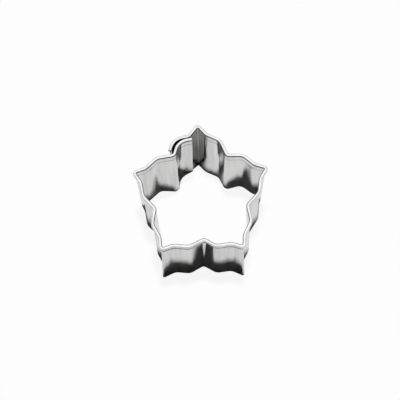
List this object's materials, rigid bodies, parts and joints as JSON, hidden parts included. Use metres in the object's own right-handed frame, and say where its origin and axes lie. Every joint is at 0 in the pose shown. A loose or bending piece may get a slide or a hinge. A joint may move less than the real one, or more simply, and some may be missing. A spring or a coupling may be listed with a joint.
{
  "type": "pastry cutter",
  "caption": "Open pastry cutter of thin bright steel strip, bent into a pointed petal flower, with a rolled top edge and a spot-welded lap seam.",
  "frame": {"origin": "under the middle of the cutter's bounding box, in the plane of the cutting edge", "axes": "+Z from the cutting edge up to the rolled rim, +Y towards the petal that holds the lap seam, +X to the right of it as seen from the front"},
  "size_m": [0.0386, 0.0382, 0.0254],
  "materials": {
    "tinned_steel": "bright tinned sheet steel with faint vertical bending streaks",
    "weld_steel": "resolidified weld metal"
  },
  "bodies": {
    "root": {"cutter_strip": "tinned_steel", "spot_welds": "weld_steel"}
  },
  "joints": []
}
